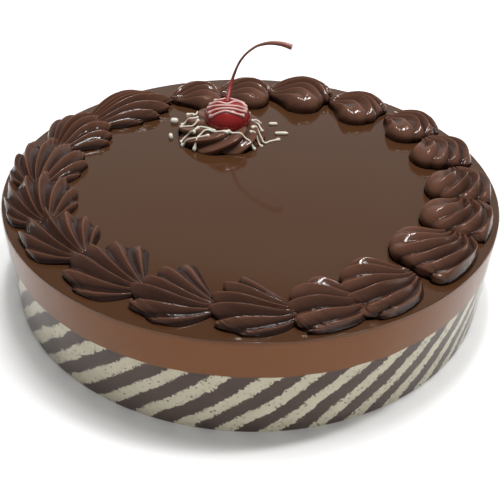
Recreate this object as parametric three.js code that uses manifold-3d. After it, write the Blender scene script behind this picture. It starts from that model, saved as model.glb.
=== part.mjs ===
// A round chocolate mousse cake: a band of striped sponge, a band of mousse and a dark mirror glaze,
// held by a clear collar, with nineteen piped shells round the rim. A piped rosette behind the centre
// carries a cherry with its stem and strands of white chocolate.
// Millimetres, +Z up. The origin is the centre of the underside, and the front of the cake faces -Y.

import * as THREE from "three";
import { mergeVertices } from "three/addons/utils/BufferGeometryUtils.js";
import Module from "manifold-3d";

// ---------------------------------------------------------------- driving dimensions (mm, degrees)
const CAKE_RADIUS = 115;
const SPONGE_TOP = 30.6;
const MOUSSE_TOP = 46.5;
const GLAZE_TOP = 48;
const GLAZE_EDGE_RADIUS = 1.1;
const DISC_SIDES = 72;
const TOUCHING_GAP = 0.3;

const COLLAR_WALL = 0.4;
const COLLAR_TOP = 48.5;
const COLLAR_SEAM_START = 104;
const COLLAR_SEAM_OVERLAP = 10;
const COLLAR_SEAM_RAMP = 10;

// A shell's ribs spread from its hub, where the nozzle pulled away, to the blunt edge of its head. The
// next head covers the hub. Along the rim the shells are long, at the front right they are full and
// round, at the left they are pressed into open fans, and on the right and at the back they are tall
// and curl inwards. Reach is how far from the middle of the cake a shell may come.
const ALONG_RIM = {
  outerLow: 0.7, innerLow: 0.75, bow: 0.35, bluntness: 0.55, ribDepth: 0.36,
  tipDepth: 0.4, edgeDepth: 0.1, innerCalm: 0, dropPower: 1.7, reach: 114.8,
};
const FULL_HEAD = {
  outerLow: 0.62, innerLow: 0.1, bow: 0.5, bluntness: 0.5, ribDepth: 0.32,
  tipDepth: 0.28, edgeDepth: 0.05, innerCalm: 0.4, dropPower: 2.4, reach: 114.8,
};
const OPEN_FAN = {
  outerLow: 0.2, innerLow: 0.3, bow: 0.1, bluntness: 0.6, ribDepth: 0.29,
  tipDepth: 0.48, edgeDepth: 0.12, innerCalm: 0, dropPower: 1.7, reach: 114.8,
};
const CURLED = {
  outerLow: 0.3, innerLow: 0, bow: 0.8, bluntness: 0.5, ribDepth: 0.34,
  tipDepth: 0.13, edgeDepth: 0.02, innerCalm: 0.85, dropPower: 2.6, reach: 114.6,
};
// Hub's angle and radius, length, height, heading, bend, outer and inner spread, outer and inner drop,
// ribs and style, one line for each shell, anticlockwise from the middle of the front.
const SHELLS = [
  [281, 102, 34, 8.6, 7, 6, 32, 40, 0.45, 0.15, 6, ALONG_RIM],
  [295.4, 102.5, 29, 9, 5, 8, 34, 42, 0.25, 0.45, 5, FULL_HEAD],
  [310.2, 100.5, 33, 10, 4, 10, 34, 42, 0.25, 0.45, 6, FULL_HEAD],
  [332, 99.5, 37, 10.5, 14, 34, 28, 36, 0.1, 0.45, 6, CURLED],
  [348.6, 99, 34, 11, 11, 34, 28, 36, 0.05, 0.45, 5, CURLED],
  [4.6, 99, 33, 10.8, 13, 36, 28, 36, 0.05, 0.45, 5, CURLED],
  [23.6, 98.5, 32, 10.2, 12, 36, 28, 38, 0.05, 0.45, 5, CURLED],
  [41, 96, 31, 10.4, 2, 36, 30, 38, 0, 0.45, 5, CURLED],
  [62.3, 91.5, 35, 10.6, 5, 36, 28, 36, 0, 0.45, 5, CURLED],
  [85, 88.5, 39, 12.5, 4, 34, 26, 36, 0, 0.5, 5, CURLED],
  [103.6, 87.5, 35, 10.8, 6, 32, 26, 36, 0, 0.45, 5, CURLED],
  [121, 89.5, 33, 10.4, 10, 28, 26, 36, 0, 0.45, 5, CURLED],
  [155, 94.5, 57, 10, 5, 12, 22, 38, 0.2, 0.7, 7, OPEN_FAN],
  [172.3, 96.5, 42, 9.5, 2, 12, 30, 52, 0.2, 0.55, 7, OPEN_FAN],
  [192.6, 98.5, 46, 9, 2, 8, 50, 58, 0.6, 0.75, 8, OPEN_FAN],
  [210.1, 98.5, 43, 9, -2, 6, 50, 58, 0.62, 0.75, 8, OPEN_FAN],
  [227.5, 97, 40, 8.6, 0, 4, 44, 48, 0.55, 0.6, 7, OPEN_FAN],
  [245.9, 97.8, 38, 8.5, 3, 4, 38, 46, 0.6, 0.35, 6, ALONG_RIM],
  [263.4, 99.4, 35, 8.7, 5, 4, 36, 44, 0.55, 0.2, 6, ALONG_RIM],
];
const SHELL_RING_RADIUS = 99;
const HUB_WIDTH = 6;
const HUB_LENGTH = 1.6;
const HUB_ROUNDING = 0.8;
const TAIL_HEIGHT_SHARE = 0.28;
const RISE_SHARE = 0.75;
const RIM_EASE = 6;
const OVER_THE_EDGE = 1.85;
const RIB_SOFTNESS = 0.4;
const STEPS_PER_RIB = 4;
// Steps on the way from the hub (0) over the top. The last is the widest place, where the wall stands.
const STEPS_OUT = [0, 0.08, 0.22, 0.42, 0.62, 0.78, 0.849];

const ROSETTE = { x: -16.5, y: 40, radius: 23.5, height: 10, ribs: 11, sweep: 65 };
const ROSETTE_RIB_DEPTH = 0.14;
const ROSETTE_RIB_SOFTNESS = 0.3;
const ROSETTE_WALL_POWER = 0.5;
const ROSETTE_TOP_POWER = 0.8;
const ROSETTE_STEPS_ROUND = 44;
const ROSETTE_STEPS_UP = 6;

const CHERRY = { x: -13.5, y: 39.5, z: 10.3, radius: 11.9, halfHeight: 9, dimple: 1.2, dimpleWidth: 2.4 };
const CHERRY_STEPS_ROUND = 18;
const CHERRY_STEPS_UP = 10;

// The stem's centre line above the glaze, from the dimple to the blunt cut end.
const STEM_LINE = [
  [-13.6, 40.6, 18.4],
  [-11.6, 48.6, 25.6],
  [-9.1, 50.1, 32.8],
  [-6.7, 49.9, 37.6],
  [-2.4, 49.8, 42.4],
  [2.8, 48.6, 45.9],
  [12.5, 43.9, 48.4],
  [18.1, 42, 47.5],
];
const STEM_BASE_RADIUS = 1.15;
const STEM_MIDDLE_RADIUS = 0.72;
const STEM_TIP_RADIUS = 1.3;
const STEM_SIDES = 7;
const STEM_STEP = 3;
const STEM_TAPER_SHARE = 0.3;

// White chocolate strands, as points seen from above, laid over what is under them.
const STRAND_RADIUS = 0.75;
const STRAND_END_SWELL = 0.25;
const STRAND_SIDES = 4;
const STRAND_STEP = 4.5;
const STRAND_SINK = 0.3;
const STRANDS_ON_CHERRY = [
  [[-20.6, 43.6], [-17, 42.4], [-13.4, 44], [-9.6, 43.4], [-6.6, 44], [-4.4, 42.8]],
  [[-23, 41], [-18.6, 39.6], [-13.6, 37.6], [-9.2, 40.6], [-6, 41.8], [-3, 40.8]],
  [[-23.8, 38.6], [-21.4, 37.4], [-16.8, 35.6], [-11.6, 35.4], [-6.4, 37], [-2.7, 38.6]],
  [[-23.2, 34.4], [-18.4, 33.6], [-14, 33.4], [-9.8, 33.8], [-6.3, 34.6], [-3.2, 36.6]],
  [[-22.4, 32.6], [-20.4, 31.6], [-17.5, 31.5], [-14, 31.9], [-10.4, 31.6], [-7.1, 32.2], [-4.2, 33.6]],
];
const STRANDS_ON_ROSETTE = [
  [[-37.6, 36], [-32.8, 34.4], [-30.5, 34.3], [-27.8, 36.8]],
  [[-36.6, 26.4], [-32.6, 25.6], [-27.6, 23.9], [-21.4, 23.4]],
  [[-29.6, 20.4], [-28.4, 22.4], [-26.8, 25.4], [-23.4, 27.4], [-18.2, 26.4], [-12, 25.4]],
  [[-30, 27.2], [-27.4, 30.8], [-24, 29], [-18.6, 27]],
  [[-13, 26.6], [-8, 26.4], [-4, 25.6], [-0.6, 24.4], [1.9, 23.9]],
  [[-0.8, 33.4], [2, 35.4], [4, 33.8], [6.4, 31.6], [9, 33.6], [14.6, 36.2]],
  [[-0.4, 39], [1.6, 42], [4, 39], [5.2, 36.4]],
  [[-0.6, 43.4], [1.6, 44.6], [4.4, 42.2]],
  [[-2.6, 50.4], [0.6, 51.6], [2.6, 49.4]],
  [[-35.6, 48.4], [-32, 50.4], [-31.2, 47.4], [-29.2, 54], [-27.6, 56.4]],
];
const STRANDS_ON_GLAZE = [
  [[8.6, 53.4], [13.4, 53.6]],
  [[11.6, 42.4], [19, 42.8]],
  [[-41.6, 52.6], [-43.4, 53]],
  [[-42, 34.6], [-43.4, 34.2]],
];

// ---------------------------------------------------------------- helpers
const wasm = await Module();
wasm.setup();

const degrees = THREE.MathUtils.degToRad;
const mix = THREE.MathUtils.lerp;

function meshOf(positions, triangles) {
  const geometry = new THREE.BufferGeometry();
  geometry.setAttribute("position", new THREE.Float32BufferAttribute(positions, 3));
  geometry.setIndex(triangles);
  return geometry;
}

function solidOf(geometry) {
  const bare = geometry.clone();
  bare.deleteAttribute("normal");
  bare.deleteAttribute("uv");
  const merged = mergeVertices(bare, 1e-3);
  return new wasm.Manifold(
    new wasm.Mesh({
      numProp: 3,
      vertProperties: new Float32Array(merged.attributes.position.array),
      triVerts: new Uint32Array(merged.index.array),
    }),
  );
}

function geometryOf(solid) {
  const mesh = solid.getMesh();
  const points = [];
  for (let i = 0; i < mesh.numVert; i++) {
    const start = i * mesh.numProp;
    points.push(...mesh.vertProperties.subarray(start, start + 3));
  }
  return meshOf(points, [...mesh.triVerts]);
}

// Closes a sheet whose border lies flat: rim holds the border's vertex numbers, anticlockwise from above.
function addFlatUnderside(positions, triangles, rim) {
  const outline = rim.map((i) => new THREE.Vector2(positions[3 * i], positions[3 * i + 1]));
  for (const [a, b, c] of THREE.ShapeUtils.triangulateShape(outline, [])) {
    triangles.push(rim[a], rim[c], rim[b]);
  }
}

// ---------------------------------------------------------------- the layers and the collar
function discBetween(bottom, top, edgeRadius) {
  const profile = [
    new THREE.Vector2(0, bottom),
    new THREE.Vector2(CAKE_RADIUS, bottom),
    new THREE.Vector2(CAKE_RADIUS, top - edgeRadius),
  ];
  if (edgeRadius > 0) {
    const turn = edgeRadius * (1 - Math.SQRT1_2);
    profile.push(new THREE.Vector2(CAKE_RADIUS - turn, top - turn));
    profile.push(new THREE.Vector2(CAKE_RADIUS - edgeRadius, top));
  }
  profile.push(new THREE.Vector2(0, top));
  return new THREE.LatheGeometry(profile, DISC_SIDES).rotateX(Math.PI / 2);
}

// The collar is one strip whose end laps over its start, so it runs a little wider near its end.
function collarGeometry() {
  const step = 360 / DISC_SIDES;
  const innerRadius = CAKE_RADIUS + TOUCHING_GAP;
  const lapRadius = innerRadius + COLLAR_WALL + TOUCHING_GAP;
  const turn = 360 + COLLAR_SEAM_OVERLAP;
  const inner = [];
  const outer = [];
  for (let along = 0; along <= turn + step / 2; along += step) {
    const lap = THREE.MathUtils.smoothstep(along, 360 - COLLAR_SEAM_RAMP, 360 - step);
    const radius = mix(innerRadius, lapRadius, lap);
    const angle = degrees(COLLAR_SEAM_START + along);
    inner.push(new THREE.Vector2(radius * Math.cos(angle), radius * Math.sin(angle)));
    outer.push(new THREE.Vector2(
      (radius + COLLAR_WALL) * Math.cos(angle),
      (radius + COLLAR_WALL) * Math.sin(angle),
    ));
  }
  const outline = new THREE.Shape([...outer, ...inner.reverse()]);
  const depth = COLLAR_TOP - TOUCHING_GAP;
  return new THREE.ExtrudeGeometry(outline, { depth, bevelEnabled: false }).translate(0, 0, TOUCHING_GAP);
}

// ---------------------------------------------------------------- piped shells
// Depth of the valley between two crests: 0 on a crest, 1 in the valley. Softness 0 gives sharp crests
// with hollow valleys, and softness 1 gives round lobes with sharp creases.
function valley(crestCount, share, softness) {
  const phase = crestCount * share;
  const offCrest = 2 * Math.abs(phase - Math.floor(phase) - 0.5);
  const hollow = 1 - (1 - offCrest) ** 2;
  const lobe = offCrest ** 2;
  return mix(hollow, lobe, softness);
}

function shellForm(row) {
  const [hubAngle, hubRadius, length, height, heading, bend, outerSpread, innerSpread, outerDrop, innerDrop] = row;
  const form = { hubAngle, hubRadius, length, height, heading, bend, outerSpread, innerSpread, outerDrop, innerDrop };
  return { ...form, ribs: row[10], ...row[11] };
}

// A point of a shell. out runs from the hub (0) over the top, and across from the outer side (0) to
// the inner side (1).
function shellPoint(form, out, across) {
  const lean = out * OVER_THE_EDGE;
  const body = Math.sin(lean) ** form.bluntness;
  const groove = valley(form.ribs, across, RIB_SOFTNESS);
  const side = 2 * across - 1;
  const offMiddle = Math.abs(side);
  const inner = side > 0;
  const ribbed = 1 - form.innerCalm * THREE.MathUtils.smoothstep(side, -0.3, 0.6) * body ** 1.5;
  const drop = (inner ? form.innerDrop : form.outerDrop) * offMiddle ** form.dropPower;
  const edge = form.length * (1 - drop) * (1 - form.edgeDepth * ribbed * groove);
  const reach = edge * body;

  const share = THREE.MathUtils.smoothstep(reach, 0, RISE_SHARE * form.length);
  const rise = mix(TAIL_HEIGHT_SHARE, 1, share) * Math.sqrt(Math.min(1, reach / HUB_LENGTH));
  const fall = (Math.cos(lean) - Math.cos(OVER_THE_EDGE)) / (1 - Math.cos(OVER_THE_EDGE));
  const low = (inner ? form.innerLow : form.outerLow) * offMiddle ** 1.6;
  const wall = Math.sqrt(1 - offMiddle ** 10);
  const depth = ribbed * mix(form.ribDepth * Math.min(1, reach / 8), form.tipDepth, body ** 8);
  const z = form.height * rise * fall * wall * (1 - low) * (1 - depth * groove);

  const shortOfTip = 1 - reach / form.length;
  const spread = inner ? form.innerSpread : form.outerSpread;
  const turn = side * offMiddle ** 0.1 * spread * (1 + form.bow * shortOfTip);
  const way = degrees(form.heading - form.bend * shortOfTip + turn);
  const hubWay = degrees(form.heading - form.bend);
  const aside = (HUB_WIDTH / 2) * side;
  const behind = HUB_ROUNDING * (1 - side ** 2);
  const ahead = reach * Math.cos(way) - aside * Math.sin(hubWay) - behind * Math.cos(hubWay);
  const inward = reach * Math.sin(way) + aside * Math.cos(hubWay) - behind * Math.sin(hubWay);
  const angle = degrees(form.hubAngle) - ahead / SHELL_RING_RADIUS;
  const straight = form.hubRadius - inward;
  const past = Math.max(0, straight - (form.reach - RIM_EASE));
  const radius = straight - past + RIM_EASE * (1 - Math.exp(-past / RIM_EASE));
  return [radius * Math.cos(angle), radius * Math.sin(angle), z];
}

function shellGeometry(form) {
  const columns = form.ribs * STEPS_PER_RIB;
  const rows = STEPS_OUT.length - 1;
  const positions = [];
  for (const out of STEPS_OUT) {
    for (let j = 0; j <= columns; j++) {
      positions.push(...shellPoint(form, out, j / columns));
    }
  }
  const vertex = (i, j) => i * (columns + 1) + j;
  const triangles = [];
  for (let j = 0; j < columns; j++) {
    for (let i = 0; i < rows; i++) {
      triangles.push(vertex(i, j), vertex(i, j + 1), vertex(i + 1, j));
      triangles.push(vertex(i, j + 1), vertex(i + 1, j + 1), vertex(i + 1, j));
    }
  }
  const rim = [];
  for (let j = 0; j < columns; j++) {
    rim.push(vertex(0, j));
  }
  for (let i = 0; i < rows; i++) {
    rim.push(vertex(i, columns));
  }
  for (let j = columns; j > 0; j--) {
    rim.push(vertex(rows, j));
  }
  for (let i = rows; i > 0; i--) {
    rim.push(vertex(i, 0));
  }
  for (const i of rim) {
    positions[3 * i + 2] = 0;
  }
  addFlatUnderside(positions, triangles, rim);
  return meshOf(positions, triangles);
}

// The same shell a little larger all round, which cuts clear of it whatever it covers.
function swollen(geometry) {
  geometry.computeBoundingBox();
  const centre = geometry.boundingBox.getCenter(new THREE.Vector3());
  const size = geometry.boundingBox.getSize(new THREE.Vector3());
  const grow = 2 * TOUCHING_GAP;
  const larger = geometry.clone().translate(-centre.x, -centre.y, -centre.z);
  larger.scale(1 + grow / size.x, 1 + grow / size.y, 1 + grow / size.z);
  return larger.translate(centre.x, centre.y, centre.z);
}

// A tail ends where the next shell's head covers it.
function shellSolid(index) {
  const next = shellGeometry(shellForm(SHELLS[(index + 1) % SHELLS.length]));
  const shell = solidOf(shellGeometry(shellForm(SHELLS[index])));
  return shell.subtract(solidOf(swollen(next))).subtract(solidOf(next));
}

// ---------------------------------------------------------------- rosette, cherry, stem and strands
function rosettePoint(turn, climb) {
  const share = turn - (climb * ROSETTE.sweep) / 360;
  const groove = 1 - ROSETTE_RIB_DEPTH * valley(ROSETTE.ribs, share, ROSETTE_RIB_SOFTNESS);
  const lean = (climb * Math.PI) / 2;
  const out = Math.cos(lean) ** ROSETTE_WALL_POWER * ROSETTE.radius * groove;
  const angle = 2 * Math.PI * turn;
  const z = Math.sin(lean) ** ROSETTE_TOP_POWER * ROSETTE.height * groove;
  return [ROSETTE.x + out * Math.cos(angle), ROSETTE.y + out * Math.sin(angle), z];
}

// Height of the rosette at mid rib depth; outside its edge a strand hangs just clear of the glaze.
function rosetteTopAt(x, y) {
  const share = Math.hypot(x - ROSETTE.x, y - ROSETTE.y) / ROSETTE.radius / (1 - ROSETTE_RIB_DEPTH / 2);
  const lean = Math.acos(Math.min(1, share ** (1 / ROSETTE_WALL_POWER)));
  return ROSETTE.height * (1 - ROSETTE_RIB_DEPTH / 2) * Math.sin(lean) ** ROSETTE_TOP_POWER;
}

function rosetteGeometry() {
  const positions = [];
  for (let i = 0; i < ROSETTE_STEPS_UP; i++) {
    for (let j = 0; j < ROSETTE_STEPS_ROUND; j++) {
      positions.push(...rosettePoint(j / ROSETTE_STEPS_ROUND, i / ROSETTE_STEPS_UP));
    }
  }
  const vertex = (i, j) => i * ROSETTE_STEPS_ROUND + (j % ROSETTE_STEPS_ROUND);
  const top = ROSETTE_STEPS_UP * ROSETTE_STEPS_ROUND;
  positions.push(ROSETTE.x, ROSETTE.y, ROSETTE.height);
  const triangles = [];
  const rim = [];
  for (let j = 0; j < ROSETTE_STEPS_ROUND; j++) {
    for (let i = 0; i < ROSETTE_STEPS_UP - 1; i++) {
      triangles.push(vertex(i, j), vertex(i, j + 1), vertex(i + 1, j));
      triangles.push(vertex(i + 1, j), vertex(i, j + 1), vertex(i + 1, j + 1));
    }
    triangles.push(vertex(ROSETTE_STEPS_UP - 1, j), vertex(ROSETTE_STEPS_UP - 1, j + 1), top);
    rim.push(vertex(0, j));
  }
  addFlatUnderside(positions, triangles, rim);
  return meshOf(positions, triangles);
}

function cherryGeometry(grow) {
  const ball = new THREE.SphereGeometry(1, CHERRY_STEPS_ROUND, CHERRY_STEPS_UP).rotateX(Math.PI / 2);
  ball.scale(CHERRY.radius + grow, CHERRY.radius + grow, CHERRY.halfHeight + grow);
  const points = ball.attributes.position;
  for (let i = 0; i < points.count; i++) {
    const out = Math.hypot(points.getX(i), points.getY(i));
    const upward = Math.max(0, Math.sign(points.getZ(i)));
    const sink = upward * CHERRY.dimple * Math.exp(-((out / CHERRY.dimpleWidth) ** 2));
    points.setZ(i, points.getZ(i) - sink);
  }
  return ball.translate(CHERRY.x, CHERRY.y, CHERRY.z);
}

function cherryTopAt(x, y) {
  const out = Math.hypot(x - CHERRY.x, y - CHERRY.y) / CHERRY.radius;
  return CHERRY.z + CHERRY.halfHeight * Math.sqrt(Math.max(0, 1 - out * out));
}

// A closed tube of changing radius along a smooth curve through the given points.
function tubeGeometry(points, radiusAt, sides, stepLength) {
  const curve = new THREE.CatmullRomCurve3(points.map((p) => new THREE.Vector3(...p)));
  const steps = Math.max(2, Math.round(curve.getLength() / stepLength));
  const frames = curve.computeFrenetFrames(steps, false);
  const positions = [];
  const triangles = [];
  for (let i = 0; i <= steps; i++) {
    const centre = curve.getPointAt(i / steps);
    for (let j = 0; j < sides; j++) {
      const turn = (2 * Math.PI * j) / sides;
      const spoke = frames.normals[i].clone().multiplyScalar(Math.cos(turn));
      spoke.addScaledVector(frames.binormals[i], Math.sin(turn));
      positions.push(...centre.clone().addScaledVector(spoke, radiusAt(i / steps)));
    }
  }
  const vertex = (i, j) => i * sides + (j % sides);
  for (let i = 0; i < steps; i++) {
    for (let j = 0; j < sides; j++) {
      triangles.push(vertex(i, j), vertex(i, j + 1), vertex(i + 1, j));
      triangles.push(vertex(i + 1, j), vertex(i, j + 1), vertex(i + 1, j + 1));
    }
  }
  for (let j = 1; j < sides - 1; j++) {
    triangles.push(vertex(0, 0), vertex(0, j + 1), vertex(0, j));
    triangles.push(vertex(steps, 0), vertex(steps, j), vertex(steps, j + 1));
  }
  return meshOf(positions, triangles);
}

function strandSolid(points) {
  const swell = (share) => STRAND_RADIUS * (1 + STRAND_END_SWELL * Math.cos(2 * Math.PI * share));
  return solidOf(tubeGeometry(points, swell, STRAND_SIDES, STRAND_STEP));
}

function stemRadiusAt(share) {
  const fromBase = Math.min(1, share / STEM_TAPER_SHARE);
  const toTip = Math.max(0, 1 - (1 - share) / STEM_TAPER_SHARE);
  return mix(mix(STEM_BASE_RADIUS, STEM_MIDDLE_RADIUS, fromBase), STEM_TIP_RADIUS, toTip);
}

function cherrySolid(grow) {
  let cherry = solidOf(cherryGeometry(grow));
  for (const strand of STRANDS_ON_CHERRY) {
    const raised = strand.map(([x, y]) => [x, y, cherryTopAt(x, y) + STRAND_RADIUS - STRAND_SINK]);
    cherry = cherry.add(strandSolid(raised));
  }
  return cherry;
}

function rosetteSolid() {
  const lowest = TOUCHING_GAP + STRAND_RADIUS * (1 + STRAND_END_SWELL);
  let rosette = solidOf(rosetteGeometry());
  for (const strand of STRANDS_ON_ROSETTE) {
    const raised = strand.map(([x, y]) => {
      const onIcing = rosetteTopAt(x, y) + STRAND_RADIUS - STRAND_SINK;
      return [x, y, Math.max(onIcing, lowest)];
    });
    rosette = rosette.add(strandSolid(raised));
  }
  return rosette.subtract(solidOf(cherryGeometry(TOUCHING_GAP)));
}

function stemSolid() {
  const stem = solidOf(tubeGeometry(STEM_LINE, stemRadiusAt, STEM_SIDES, STEM_STEP));
  return stem.subtract(solidOf(cherryGeometry(TOUCHING_GAP)));
}

function glazeSolid() {
  let glaze = solidOf(discBetween(MOUSSE_TOP, GLAZE_TOP, GLAZE_EDGE_RADIUS));
  for (const strand of STRANDS_ON_GLAZE) {
    const laid = strand.map(([x, y]) => [x, y, GLAZE_TOP + STRAND_RADIUS - STRAND_SINK]);
    glaze = glaze.add(strandSolid(laid));
  }
  return glaze;
}

// ---------------------------------------------------------------- scene graph
const finishes = {
  sponge: { color: 0x8d8376, roughness: 0.9 },
  mousse: { color: 0x78543d, roughness: 0.6 },
  glaze: { color: 0x5b4537, roughness: 0.12 },
  icing: { color: 0x3e271d, roughness: 0.3 },
  cherry: { color: 0x7a2a28, roughness: 0.1 },
  stem: { color: 0x6c372f, roughness: 0.5 },
  film: { color: 0xdfe3e4, roughness: 0.05, transparent: true, opacity: 0.15 },
};

function named(name, geometry, finish) {
  const mesh = new THREE.Mesh(geometry, new THREE.MeshStandardMaterial(finishes[finish]));
  mesh.name = name;
  return mesh;
}

const cake = new THREE.Group();
cake.add(named("sponge_layer", discBetween(0, SPONGE_TOP, 0), "sponge"));
cake.add(named("mousse_layer", discBetween(SPONGE_TOP, MOUSSE_TOP, 0), "mousse"));
cake.add(named("glaze", geometryOf(glazeSolid()), "glaze"));
cake.add(named("acetate_collar", collarGeometry(), "film"));

const decoration = new THREE.Group();
decoration.position.z = GLAZE_TOP;
SHELLS.forEach((_, index) => {
  const name = "shell_" + String(index + 1).padStart(2, "0");
  decoration.add(named(name, geometryOf(shellSolid(index)), "icing"));
});
decoration.add(named("rosette", geometryOf(rosetteSolid()), "icing"));
decoration.add(named("cherry", geometryOf(cherrySolid(0)), "cherry"));
decoration.add(named("cherry_stem", geometryOf(stemSolid()), "stem"));
cake.add(decoration);

export default cake;
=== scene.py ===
# %% [markdown]
# # A chocolate mousse cake
#
# A round cake made in a ring: striped sponge below, milk chocolate mousse above it, and a dark mirror
# glaze on top. A clear collar holds the side. Nineteen shells are piped round the rim, and a piped
# rosette behind the centre carries a cherry with strands of white chocolate over it.
#
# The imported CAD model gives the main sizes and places. This script dresses it: each solid is replaced
# by a finer mesh of the same form, and every surface gets a material made from nodes. Blender works in
# metres, but icing is easier to think about in millimetres, so the node trees work in millimetres and
# scale their result down at the end.

# %% Load the frame
import math
import bpy
import bmesh
from mathutils import Matrix, Vector


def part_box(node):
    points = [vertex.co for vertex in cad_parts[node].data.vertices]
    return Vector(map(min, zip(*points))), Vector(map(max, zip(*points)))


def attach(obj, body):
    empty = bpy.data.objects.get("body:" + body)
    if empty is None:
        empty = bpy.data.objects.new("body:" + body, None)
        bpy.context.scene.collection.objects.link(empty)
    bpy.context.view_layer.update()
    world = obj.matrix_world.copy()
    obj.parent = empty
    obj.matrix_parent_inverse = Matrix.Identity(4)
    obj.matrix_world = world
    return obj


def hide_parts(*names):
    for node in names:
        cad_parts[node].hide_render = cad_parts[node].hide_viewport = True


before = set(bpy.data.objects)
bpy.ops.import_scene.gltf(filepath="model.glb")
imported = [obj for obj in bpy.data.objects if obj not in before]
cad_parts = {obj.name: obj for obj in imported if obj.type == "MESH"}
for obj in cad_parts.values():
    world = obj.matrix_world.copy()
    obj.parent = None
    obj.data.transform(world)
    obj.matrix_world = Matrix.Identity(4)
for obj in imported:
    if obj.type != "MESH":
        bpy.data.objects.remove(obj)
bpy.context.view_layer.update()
MM = 0.001


# %% [markdown]
# ## What the frame tells us
#
# A piece that replaces a CAD node has to sit where the node is. So the heights of the layers, the
# radius of the cake and the collar's two edges are read from the nodes' boxes instead of typed again.

# %% Heights and radii of the layers, in millimetres
CAKE_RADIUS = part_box("sponge_layer")[1].x / MM
SPONGE_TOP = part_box("sponge_layer")[1].z / MM
MOUSSE_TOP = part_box("mousse_layer")[1].z / MM
GLAZE_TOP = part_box("rosette")[0].z / MM
COLLAR_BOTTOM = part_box("acetate_collar")[0].z / MM
COLLAR_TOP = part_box("acetate_collar")[1].z / MM

print(f"radius {CAKE_RADIUS:.1f} mm, collar from {COLLAR_BOTTOM:.1f} to {COLLAR_TOP:.1f} mm")
print(f"sponge to {SPONGE_TOP:.1f}, mousse to {MOUSSE_TOP:.1f}, glaze to {GLAZE_TOP:.1f} mm")

# %% [markdown]
# ## The camera
#
# The photograph looks down on the cake at about 37 degrees from close by, so the near rim looks much
# larger than the far one. A new camera looks straight down, along its own -Z. So it is tilted up about
# X until it looks down at the photograph's angle, rolled slightly about its own Z, and put in place.

# %% Camera at the photograph's viewing angle
CAMERA_ELEVATION = math.radians(36.57)
CAMERA_ROLL = 0.027
CAMERA_PLACE = Vector((0.3, -286.2, 214.9)) * MM
CAMERA_LENS = 49.3
CAMERA_SENSOR = 36
CAMERA_NEAR_LIMIT = 0.01


def photo_camera():
    camera = bpy.data.objects.new("camera", bpy.data.cameras.new("camera"))
    camera.data.lens = CAMERA_LENS
    camera.data.sensor_width = CAMERA_SENSOR
    camera.data.clip_start = CAMERA_NEAR_LIMIT
    level = Matrix.Rotation(math.pi / 2 - CAMERA_ELEVATION, 4, "X")
    camera.matrix_world = Matrix.Translation(CAMERA_PLACE) @ level @ Matrix.Rotation(CAMERA_ROLL, 4, "Z")
    bpy.context.scene.collection.objects.link(camera)
    return camera


bpy.context.scene.camera = photo_camera()
print("camera", round(CAMERA_PLACE.length, 3), "m from the cake's base")

# %% [markdown]
# ## Floor and light
#
# The cake stands on a plain pale floor, in a bakery's light: white, and mostly from above. Two narrow
# ceiling lamps give the small sharp highlights on the wet icing, in pairs, because ceilings have rows
# of them. A dim even world and two large soft lamps fill the shadows, and those lamps don't show in
# the gloss. The flat glaze mirrors what is low at the back, so a wide panel there gives it its sheen.

# %% Floor, world and lights
FLOOR_SIZE = 6
FLOOR_COLOUR = (0.95, 0.95, 0.945, 1)
FLOOR_ROUGHNESS = 0.6
WORLD_COLOUR = (1, 1, 1, 1)
WORLD_STRENGTH = 0.2
# Name, place in metres, width and depth in metres, power in watts, and whether it shows in the gloss.
LIGHTS = [
    ("ceiling_right", (0.3, 0.08, 0.95), (0.06, 0.25), 4.2, True),
    ("ceiling_middle", (0.02, 0.12, 1.0), (0.06, 0.25), 4.2, True),
    ("ceiling_soft", (-0.1, 0.4, 1.15), (1.0, 1.0), 7.5, False),
    ("window_back", (0.4, 1.8, 0.9), (3.0, 1.2), 4.0, True),
    ("soft_front", (0.5, -0.8, 0.6), (0.5, 0.5), 1.7, False),
]


def pale_floor():
    half = FLOOR_SIZE / 2
    mesh = bpy.data.meshes.new("floor")
    corners = [(-half, -half, 0), (half, -half, 0), (half, half, 0), (-half, half, 0)]
    mesh.from_pydata(corners, [], [(0, 1, 2, 3)])
    floor = bpy.data.objects.new("floor", mesh)
    bpy.context.scene.collection.objects.link(floor)
    material = bpy.data.materials.new("pale_floor")
    material.use_nodes = True
    shader = material.node_tree.nodes["Principled BSDF"]
    shader.inputs["Base Color"].default_value = FLOOR_COLOUR
    shader.inputs["Roughness"].default_value = FLOOR_ROUGHNESS
    mesh.materials.append(material)
    return floor


def area_light(name, place, size, power, glossy):
    lamp = bpy.data.lights.new(name, "AREA")
    lamp.shape = "RECTANGLE"
    lamp.size = size[0]
    lamp.size_y = size[1]
    lamp.energy = power
    light = bpy.data.objects.new(name, lamp)
    light.location = place
    light.visible_glossy = glossy
    light.rotation_euler = (-Vector(place)).to_track_quat("-Z", "Y").to_euler()
    bpy.context.scene.collection.objects.link(light)


def white_world():
    world = bpy.data.worlds.new("studio")
    world.use_nodes = True
    background = world.node_tree.nodes["Background"]
    background.inputs["Color"].default_value = WORLD_COLOUR
    background.inputs["Strength"].default_value = WORLD_STRENGTH
    bpy.context.scene.world = world


pale_floor()
white_world()
for light in LIGHTS:
    area_light(*light)
bpy.context.scene.view_settings.view_transform = "Standard"
print("lights:", len(LIGHTS))

# %% [markdown]
# ## Arithmetic on nodes
#
# Both a shape and a colour can follow a formula. In a node tree a formula is a chain of Math nodes,
# which is long to write by hand. The small class below carries one number that flows through a tree.
# Plain Python arithmetic on it adds the Math nodes, so a formula reads like a formula. The same class
# serves Geometry Nodes and shaders, because both use the same Math node.

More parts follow.
